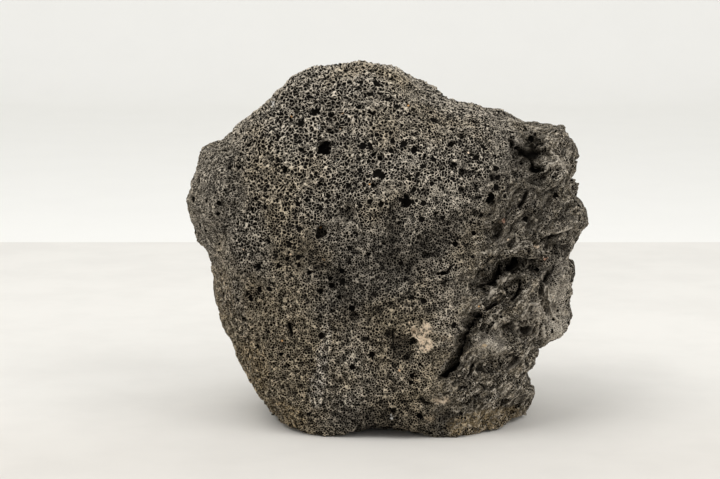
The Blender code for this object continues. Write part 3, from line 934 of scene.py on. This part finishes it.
def radius_nodes(nodes, layer, found, torn):
    """bubble_radius() again, as nodes."""
    smallest, largest = BUBBLES[layer]["radii"]
    even_share, torn_side = BUBBLES[layer]["share"]
    share = nodes.between(torn, 0.0, 1.0, even_share, torn_side, smooth=False)
    low, high, share_low = FEWER_BUBBLES
    height = nodes.split(found["centre"])[2]
    fewer = nodes.between(height, low * MM, high * MM, share_low, 1.0, smooth=False)
    share = nodes.math("MULTIPLY", share, fewer)
    parts = nodes.split(found["dice"])
    held = nodes.math("LESS_THAN", parts[1], share)
    squared = nodes.math("MULTIPLY", parts[0], parts[0])
    spread = nodes.math("MULTIPLY", squared, (largest - smallest) * MM)
    return nodes.math("MULTIPLY", nodes.math("ADD", spread, smallest * MM), held)


def openings(nodes, place, torn, ribs):
    """How open the rock is at each point, 0 to 1, and how deep the openings are as bump."""
    at = wandered(nodes, place, "cells")
    covers = cell_covers(nodes, place, at, torn, ribs)
    for layer, bubbles in BUBBLES.items():
        found = bubble_nodes(nodes, at, layer)
        distance = nodes.length(nodes.vector("SUBTRACT", at, found["centre"]))
        inset = nodes.math("SUBTRACT", radius_nodes(nodes, layer, found, torn), distance)
        covers[layer] = nodes.between(inset, 0.0, BUBBLE_EDGE * bubbles["radii"][0] * MM)
    cover = 0.0
    depth = 0.0
    for layer, opening in covers.items():
        drop = nodes.math("MULTIPLY", opening, CELL_BUMP[layer] * MM)
        cover = nodes.math("MAXIMUM", cover, opening)
        depth = nodes.math("MAXIMUM", depth, drop)
    return cover, depth


def stained(nodes, colour, place):
    """The coloured marks of the face, and where they close the cells: pale inclusions, flecks."""
    solid = 0.0
    moved = wandered(nodes, place, "stains")
    blotch = nodes.between(nodes.noise(place, *NOISES["blotches"]), *SHARES["blotches"])
    for paint, (x, z), half_width, half_height, strength in STAINS:
        gap = nodes.vector("SUBTRACT", moved, (x * MM, 0.0, z * MM))
        near = nodes.length(nodes.vector("MULTIPLY", gap, (1 / half_width / MM, 0.0,
                                                           1 / half_height / MM)))
        share = nodes.between(near, *STAIN_EDGE, 0.0, strength)
        colour = nodes.mix(nodes.math("MULTIPLY", share, blotch), colour, paint)
        if strength > CLOSED_FROM:
            solid = nodes.math("MAXIMUM", solid, share)
    return colour, nodes.math("MULTIPLY", solid, blotch)


def flecked(nodes, place):
    """Small pale and rusty grains, thinly scattered: where they are, and their colour."""
    found = nodes.voronoi(place, FLECK_SPACING, "F1")
    dice = nodes.split(found["Color"])
    held = nodes.math("LESS_THAN", dice[0], FLECK_SHARE)
    near = nodes.between(found["Distance"], *SHARES["fleck"])
    paint = nodes.mix(nodes.between(dice[1], *SHARES["fleck_paint"]), ORANGE_FLECK, CREAM)
    return nodes.math("MULTIPLY", near, held), paint


def new_material(name):
    """A new material, its nodes, and its shader."""
    material = bpy.data.materials.new(name)
    material.use_nodes = True
    tree = material.node_tree
    return material, Nodes(tree), tree.nodes["Principled BSDF"]


def basalt():
    """The rock: grey walls between near-black cells, warmer where torn, with pale marks, and
    with painted shade in cells, cracks and hollows and painted light on crests and ribs.
    """
    material, nodes, shader = new_material("vesicular_basalt")
    place = attribute(nodes, "skin_place", "Vector")
    torn, ribs, crevice_shade = (attribute(nodes, name, "Fac") for name in ("torn", "ribs", "crevice_shade"))
    mottle = nodes.noise(place, *NOISES["mottle"])
    grain = nodes.noise(place, *NOISES["fine_grain"])
    slant = slanted(nodes, wandered(nodes, place, "folds"))
    strands = nodes.noise(slant, *NOISES["fine_strands"])
    wall = bare_wall(nodes, place, torn, mottle, grain)
    wall = shaded_wall(nodes, wall, torn, strands)
    # Painted highlight on the crests of ribs and of fan strands
    wall = nodes.mix(nodes.math("MULTIPLY", ribs, RIB_HIGHLIGHT), wall, PALE_WALL)
    fleck, fleck_paint = flecked(nodes, place)
    wall = nodes.mix(fleck, wall, fleck_paint)
    face = face_only(nodes, place)
    marked, solid = stained(nodes, wall, place)
    wall = nodes.mix(face, wall, marked)

    closed = nodes.math("MULTIPLY", nodes.math("MULTIPLY", solid, face), STAIN_CLOSED)
    closed = nodes.math("MAXIMUM", closed, fleck)
    cover, depth = openings(nodes, place, torn, ribs)
    cover = nodes.math("MULTIPLY", cover, nodes.math("SUBTRACT", 1.0, closed))
    # Painted shade: open cells and deep cracks and creases go near black
    dark = nodes.math("MAXIMUM", nodes.math("MULTIPLY", cover, CELL_SHADE),
                      nodes.math("MULTIPLY", crevice_shade, CREVICE_SHADE))
    nodes.join(nodes.mix(dark, wall, CELL_DARK_AND_SHADE), shader.inputs["Base Color"])
    nodes.join(bump(nodes, grain, strands, torn, depth), shader.inputs["Normal"])
    nodes.join(nodes.between(mottle, *SHARES["rough"]), shader.inputs["Roughness"])
    nodes.join(nodes.between(dark, *SHARES["sheen"]), shader.inputs["Specular IOR Level"])
    return material


def bare_wall(nodes, place, torn, mottle, grain):
    """The walls' own colour: cooler or warmer, mottled, grained and dusty."""
    low = nodes.between(nodes.split(place)[2], *SHARES["low"])
    warmth = nodes.math("ADD", nodes.noise(place, *NOISES["warmth"]), low)
    warmth = nodes.math("ADD", warmth, nodes.math("MULTIPLY", torn, TORN_WARMER))
    wall = nodes.mix(nodes.between(warmth, *SHARES["warm"]), COOL_WALL, WARM_WALL)
    rough = nodes.between(torn, 0.0, 1.0, EVEN_MOTTLE, 1.0)
    for what, name, paint in ((mottle, "mottle", DARK_WALL), (grain, "pale_grain", PALE_WALL),
                              (grain, "dark_grain", DARK_WALL)):
        share = nodes.math("MULTIPLY", nodes.between(what, *SHARES[name]), rough)
        wall = nodes.mix(share, wall, paint)
    dusty = nodes.noise(place, *NOISES["dust"])
    return nodes.mix(nodes.between(dusty, *SHARES["dust"]), wall, DUST)


def shaded_wall(nodes, wall, torn, strands):
    """The same walls: painted shade in hollows, darker where torn, painted light on crests,
    and the broad tones with their painted shade and light.
    """
    cavity = attribute(nodes, "cavity", "Fac")
    # Painted shade in hollows and painted light on crests
    wall = nodes.mix(nodes.between(cavity, *SHARES["hollow"]), wall, DARK_WALL)
    wall = nodes.mix(nodes.between(cavity, *SHARES["crest"]), wall, PALE_WALL)
    wall = nodes.mix(nodes.math("MULTIPLY", torn, TORN_SHADE), wall, DARK_WALL)
    for name, paint in (("dark_strand", DARK_WALL), ("pale_strand", PALE_WALL)):
        share = nodes.math("MULTIPLY", nodes.between(strands, *SHARES[name]), torn)
        wall = nodes.mix(share, wall, paint)
    tone_and_shade = attribute(nodes, "tone_and_shade", "Fac")
    # The broad tones, with their painted shade and light
    for name, paint in (("dark_tone_and_shade", DARK_WALL), ("pale_tone_and_light", PALE_WALL)):
        wall = nodes.mix(nodes.between(tone_and_shade, *SHARES[name], smooth=False), wall, paint)
    return wall


def bump(nodes, grain, strands, torn, depth):
    """The fine bump: grain, strands where torn, and the openings."""
    strand_rise = nodes.math("MULTIPLY", nodes.math("MULTIPLY", strands, torn), STRAND_BUMP * MM)
    rise = nodes.math("ADD", nodes.math("MULTIPLY", grain, GRAIN_BUMP * MM), strand_rise)
    height = nodes.math("SUBTRACT", rise, depth)
    found = nodes.add("ShaderNodeBump", {"Height": height, "Distance": 1.0, "Strength": 1.0})
    return found.outputs[0]


def face_only(nodes, place):
    """face_share() again, as nodes."""
    depth = nodes.split(place)[1]
    return nodes.between(depth, FACE_UNTIL * MM, (FACE_UNTIL - FACE_FADE) * MM)


def paper(name, colour, near_colour, speckle):
    """The studio's paper: a pale colour, a second one nearer the camera, faintly uneven."""
    material, nodes, shader = new_material(name)
    place = nodes.add("ShaderNodeNewGeometry").outputs["Position"]
    cloud = nodes.noise(place, *NOISES["paper"])
    near = nodes.between(nodes.split(place)[1], *NEAR_FLOOR_BETWEEN)
    patchy = nodes.math("MULTIPLY", nodes.between(cloud, *SHARES["paper"]), speckle)
    nodes.join(nodes.mix(patchy, nodes.mix(near, colour, near_colour), DARK_WALL),
               shader.inputs["Base Color"])
    shader.inputs["Roughness"].default_value = PAPER_ROUGHNESS
    return material


def sheet(name, profile, material):
    """A wide sheet along a side profile of (Y, Z) points."""
    corners = [(side * HALF_WIDTH, y, z) for y, z in profile for side in (-1, 1)]
    faces = [(2 * i, 2 * i + 1, 2 * i + 3, 2 * i + 2) for i in range(len(profile) - 1)]
    mesh = bpy.data.meshes.new(name)
    mesh.from_pydata(corners, [], faces)
    mesh.shade_smooth()
    mesh.materials.append(material)
    placed(name, mesh)


def placed(name, data):
    """A new object in the scene."""
    thing = bpy.data.objects.new(name, data)
    bpy.context.scene.collection.objects.link(thing)
    return thing


def studio():
    """A pale floor before a white one that sweeps up, two soft lights and a pale sky."""
    cream = paper("floor_paper", FLOOR_COLOUR, NEAR_FLOOR_COLOUR, FLOOR_SPECKLE)
    white = paper("backdrop_paper", BACKDROP_COLOUR, BACKDROP_COLOUR, BACKDROP_SPECKLE)
    sheet("floor", [(FLOOR_FRONT, 0.0), (FLOOR_BACK, 0.0)], cream)
    cove = [(FLOOR_BACK, 0.0)]
    for step in range(COVE_STEPS + 1):
        turn = math.radians(90 * step / COVE_STEPS)
        cove.append((COVE_START + COVE_RADIUS * math.sin(turn),
                     COVE_RADIUS * (1 - math.cos(turn))))
    cove.append((COVE_START + COVE_RADIUS, BACKDROP_TOP))
    sheet("backdrop", cove, white)
    sky()
    for name, place, size, power in SOFT_BOXES:
        light = bpy.data.lights.new(name, "AREA")
        light.size = size
        light.energy = power
        box = placed(name, light)
        box.location = place
        box.rotation_euler = (HEART - box.location).to_track_quat("-Z", "Y").to_euler()


def sky():
    """An even pale sky."""
    world = bpy.data.worlds.new("sky")
    bpy.context.scene.world = world
    world.use_nodes = True
    inputs = world.node_tree.nodes["Background"].inputs
    inputs["Color"].default_value = SKY_COLOUR
    inputs["Strength"].default_value = SKY_STRENGTH


def camera():
    """The camera, where the photograph was taken from."""
    lens = bpy.data.cameras.new("camera")
    lens.sensor_width = SENSOR_WIDTH
    lens.lens = FOCAL_LENGTH
    seat = placed("camera", lens)
    seat.location = CAMERA_PLACE
    seat.rotation_euler = (math.radians(90.0 - CAMERA_DOWN), 0.0, 0.0)
    bpy.context.scene.camera = seat


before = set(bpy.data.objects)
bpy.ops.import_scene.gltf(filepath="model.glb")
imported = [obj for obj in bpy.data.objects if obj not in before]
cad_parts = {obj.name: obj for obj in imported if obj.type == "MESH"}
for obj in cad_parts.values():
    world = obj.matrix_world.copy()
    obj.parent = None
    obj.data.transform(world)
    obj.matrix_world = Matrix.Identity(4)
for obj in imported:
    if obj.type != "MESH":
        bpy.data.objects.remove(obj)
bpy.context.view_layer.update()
bpy.context.scene.view_settings.view_transform = "Standard"
rock = skin_over(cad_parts["lava_rock"])
roughen(rock)
mark_face(rock)
carve(rock)
thinned(rock)
rock.data.materials.clear()
rock.data.materials.append(basalt())
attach(rock, "root")
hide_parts("lava_rock")
studio()
camera()
